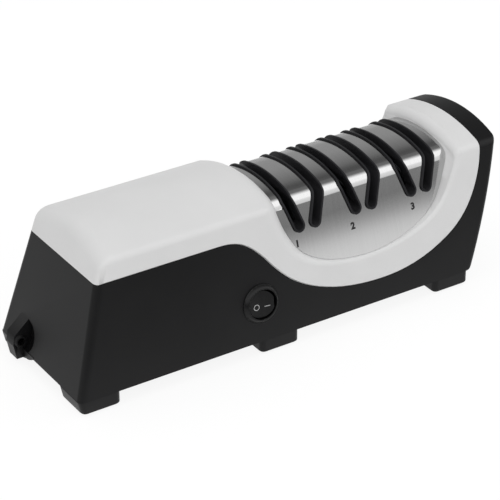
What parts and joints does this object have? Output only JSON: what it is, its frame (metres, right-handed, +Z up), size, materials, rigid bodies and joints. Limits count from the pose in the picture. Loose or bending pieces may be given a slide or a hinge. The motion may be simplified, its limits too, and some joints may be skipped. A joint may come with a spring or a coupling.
{
  "type": "electric knife sharpener",
  "caption": "Benchtop electric sharpener: wedge-ended housing, curved steel guide panel with slots in stages, rocker switch, spring-loaded discs on a driven spindle.",
  "frame": {"origin": "centre of the footprint, on the surface that the foot pads stand on", "axes": "+X runs along the length toward the end with the black band, -Y is the front with the switch, +Z is up"},
  "size_m": [0.2916, 0.0932, 0.091],
  "materials": {
    "black_body": "matte",
    "white_cover": "satin",
    "brushed_steel": "brushed",
    "black_gloss": "gloss",
    "black_rocker": "satin",
    "contact_brass": "satin",
    "pad_rubber": "matte",
    "plate_plastic": "matte",
    "zinc_screw": "satin",
    "motor_steel": "satin",
    "ferrite": "matte",
    "copper_winding": "satin",
    "shaft_steel": "satin",
    "carbon": "matte",
    "fan_plastic": "matte",
    "bearing_bronze": "satin",
    "abrasive_steel": "matte",
    "spring_steel": "satin",
    "board_green": "matte",
    "capacitor_blue": "gloss"
  },
  "bodies": {
    "housing": {"base_shell": "black_body", "top_cover": "white_cover", "guide_panel": "brushed_steel", "slot_guide_1a": "black_gloss", "slot_guide_1b": "black_gloss", "slot_guide_2a": "black_gloss", "slot_guide_2b": "black_gloss", "slot_guide_3a": "black_gloss", "slot_guide_3b": "black_gloss", "switch_bezel": "black_gloss", "switch_terminals": "contact_brass", "cord_outlet_bush": "black_rocker", "bottom_plate": "plate_plastic", "bottom_screws": "zinc_screw", "cover_screws": "zinc_screw", "foot_pads": "pad_rubber", "motor_can": "motor_steel", "motor_end_bell": "plate_plastic", "motor_magnets": "ferrite", "motor_bracket": "black_body", "motor_strap": "motor_steel", "motor_screws": "zinc_screw", "motor_brushes": "carbon", "bearing_blocks": "black_body", "spindle_bearings": "bearing_bronze", "filings_magnet": "ferrite", "rectifier_board": "board_green", "capacitor": "capacitor_blue"},
    "rocker": {"switch_rocker": "black_rocker"},
    "drive_train": {"motor_armature": "copper_winding", "motor_shaft": "shaft_steel", "commutator": "contact_brass", "cooling_fan": "fan_plastic", "shaft_coupling": "fan_plastic", "spindle": "shaft_steel", "drive_pins": "shaft_steel", "disc_spring_1": "spring_steel", "disc_spring_2": "spring_steel", "disc_spring_3": "spring_steel"},
    "disc_1a": {"disc_1a": "abrasive_steel"},
    "disc_1b": {"disc_1b": "abrasive_steel"},
    "disc_2a": {"disc_2a": "abrasive_steel"},
    "disc_2b": {"disc_2b": "abrasive_steel"},
    "disc_3a": {"disc_3a": "abrasive_steel"},
    "disc_3b": {"disc_3b": "abrasive_steel"}
  },
  "joints": [
    {"name": "rocker_tilt", "type": "hinge", "parent": "housing", "child": "rocker", "pos_m": [-0.0234, -0.04009, 0.03089], "axis": [0, 0.1357, 0.9907], "range_deg": [0, 14]},
    {"name": "drive_spin", "type": "hinge", "parent": "housing", "child": "drive_train", "pos_m": [0, 0, 0.04321], "axis": [1, 0, 0], "continuous": true},
    {"name": "disc_slide_1a", "type": "slide", "parent": "drive_train", "child": "disc_1a", "axis": [1, 0, 0], "range_m": [0, 0.0012], "stiffness_N_per_m": 900, "springref_m": -0.002, "deforming": ["disc_spring_1"]},
    {"name": "disc_slide_1b", "type": "slide", "parent": "drive_train", "child": "disc_1b", "axis": [-1, 0, 0], "range_m": [0, 0.0012], "stiffness_N_per_m": 900, "springref_m": -0.002},
    {"name": "disc_slide_2a", "type": "slide", "parent": "drive_train", "child": "disc_2a", "axis": [1, 0, 0], "range_m": [0, 0.0012], "stiffness_N_per_m": 900, "springref_m": -0.002, "deforming": ["disc_spring_2"]},
    {"name": "disc_slide_2b", "type": "slide", "parent": "drive_train", "child": "disc_2b", "axis": [-1, 0, 0], "range_m": [0, 0.0012], "stiffness_N_per_m": 900, "springref_m": -0.002},
    {"name": "disc_slide_3a", "type": "slide", "parent": "drive_train", "child": "disc_3a", "axis": [1, 0, 0], "range_m": [0, 0.0012], "stiffness_N_per_m": 900, "springref_m": -0.002, "deforming": ["disc_spring_3"]},
    {"name": "disc_slide_3b", "type": "slide", "parent": "drive_train", "child": "disc_3b", "axis": [-1, 0, 0], "range_m": [0, 0.0012], "stiffness_N_per_m": 900, "springref_m": -0.002}
  ]
}
